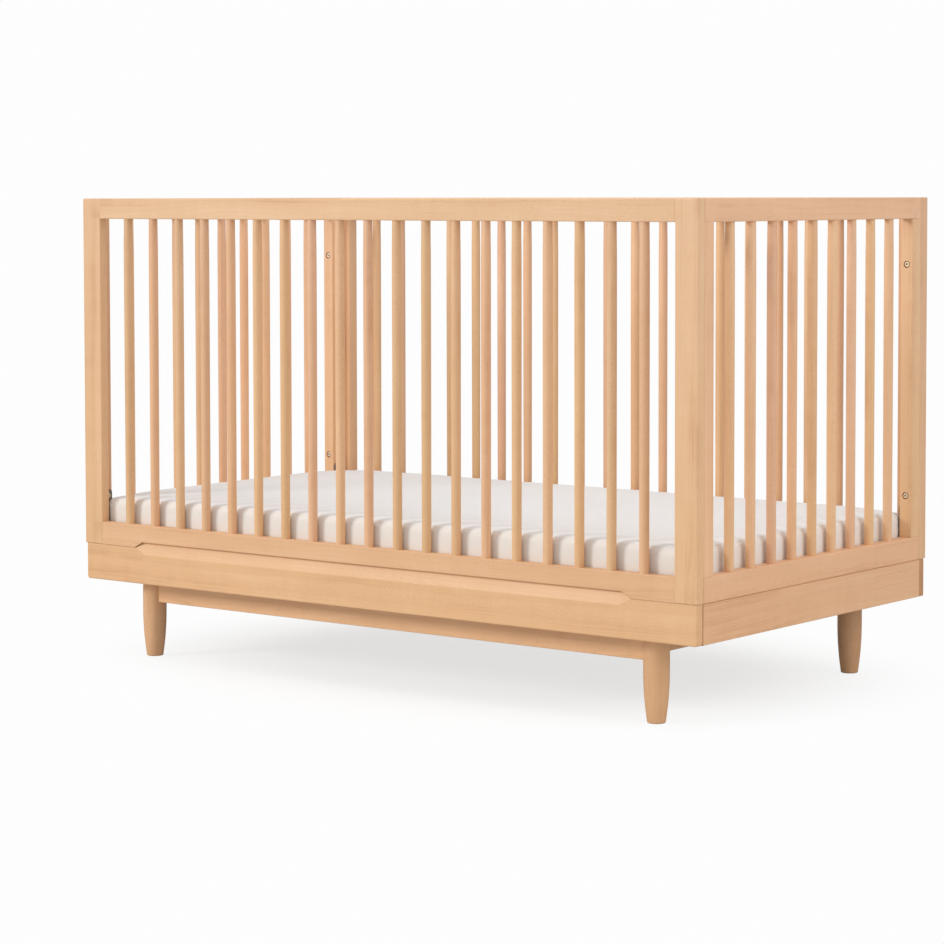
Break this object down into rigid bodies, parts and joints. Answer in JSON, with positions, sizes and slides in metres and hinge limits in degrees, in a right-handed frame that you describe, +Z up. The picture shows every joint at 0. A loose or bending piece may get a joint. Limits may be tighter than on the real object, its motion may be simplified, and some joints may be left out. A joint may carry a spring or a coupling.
{
  "type": "baby crib",
  "caption": "Baby crib with four spindle sides on a low base box, turned tapered feet, a height-adjustable slatted mattress support and a lift-out mattress in a fitted sheet.",
  "frame": {"origin": "on the floor under the middle of the crib's outside box", "axes": "+X along the crib's length, +Y from the front long side to the back long side, +Z up"},
  "size_m": [1.39, 0.75, 0.866],
  "materials": {
    "frame_wood": "clear satin lacquer over pale oak, straight grain along each piece",
    "base_wood": "clear satin lacquer over pale oak",
    "turned_wood": "turned and sanded, clear satin lacquer",
    "pale_timber": "planed, unlacquered",
    "bolt_steel": "zinc plated",
    "hanger_steel": "dark bronze powder coat",
    "mattress_foam": "knitted ticking over foam",
    "sheet_cotton": "plain-woven cotton, matt"
  },
  "bodies": {
    "crib_frame": {"back_bottom_rail": "frame_wood", "back_left_stile": "frame_wood", "back_right_stile": "frame_wood", "back_spindles": "turned_wood", "back_top_rail": "frame_wood", "base_back_panel": "base_wood", "base_front_panel": "base_wood", "base_left_panel": "base_wood", "base_right_panel": "base_wood", "corner_block_back_left": "pale_timber", "corner_block_back_right": "pale_timber", "corner_block_front_left": "pale_timber", "corner_block_front_right": "pale_timber", "foot_back_left": "turned_wood", "foot_back_right": "turned_wood", "foot_front_left": "turned_wood", "foot_front_right": "turned_wood", "frame_bolt_back_left_lower": "bolt_steel", "frame_bolt_back_left_upper": "bolt_steel", "frame_bolt_back_right_lower": "bolt_steel", "frame_bolt_back_right_upper": "bolt_steel", "frame_bolt_front_left_lower": "bolt_steel", "frame_bolt_front_left_upper": "bolt_steel", "frame_bolt_front_right_lower": "bolt_steel", "frame_bolt_front_right_upper": "bolt_steel", "front_bottom_rail": "frame_wood", "front_left_stile": "frame_wood", "front_right_stile": "frame_wood", "front_spindles": "turned_wood", "front_top_rail": "frame_wood", "left_end_back_post": "frame_wood", "left_end_bottom_rail": "frame_wood", "left_end_front_post": "frame_wood", "left_end_spindles": "turned_wood", "left_end_top_rail": "frame_wood", "right_end_back_post": "frame_wood", "right_end_bottom_rail": "frame_wood", "right_end_front_post": "frame_wood", "right_end_spindles": "turned_wood", "right_end_top_rail": "frame_wood", "under_rail_back": "base_wood", "under_rail_front": "base_wood", "under_rail_left": "base_wood", "under_rail_right": "base_wood"},
    "mattress_support": {"support_hanger_back_left": "hanger_steel", "support_hanger_back_right": "hanger_steel", "support_hanger_front_left": "hanger_steel", "support_hanger_front_right": "hanger_steel", "support_rail_back": "pale_timber", "support_rail_front": "pale_timber", "support_rail_left": "pale_timber", "support_rail_right": "pale_timber", "support_slat_1": "pale_timber", "support_slat_2": "pale_timber", "support_slat_3": "pale_timber", "support_slat_4": "pale_timber", "support_slat_5": "pale_timber", "support_slat_6": "pale_timber"},
    "mattress": {"mattress": "mattress_foam", "fitted_sheet": "sheet_cotton"}
  },
  "joints": [
    {"name": "support_height", "type": "slide", "parent": "crib_frame", "child": "mattress_support", "axis": [0, 0, 1], "range_m": [0, 0.3]},
    {"name": "mattress_lift", "type": "slide", "parent": "mattress_support", "child": "mattress", "axis": [0, 0, 1], "range_m": [0, 0.7]}
  ]
}
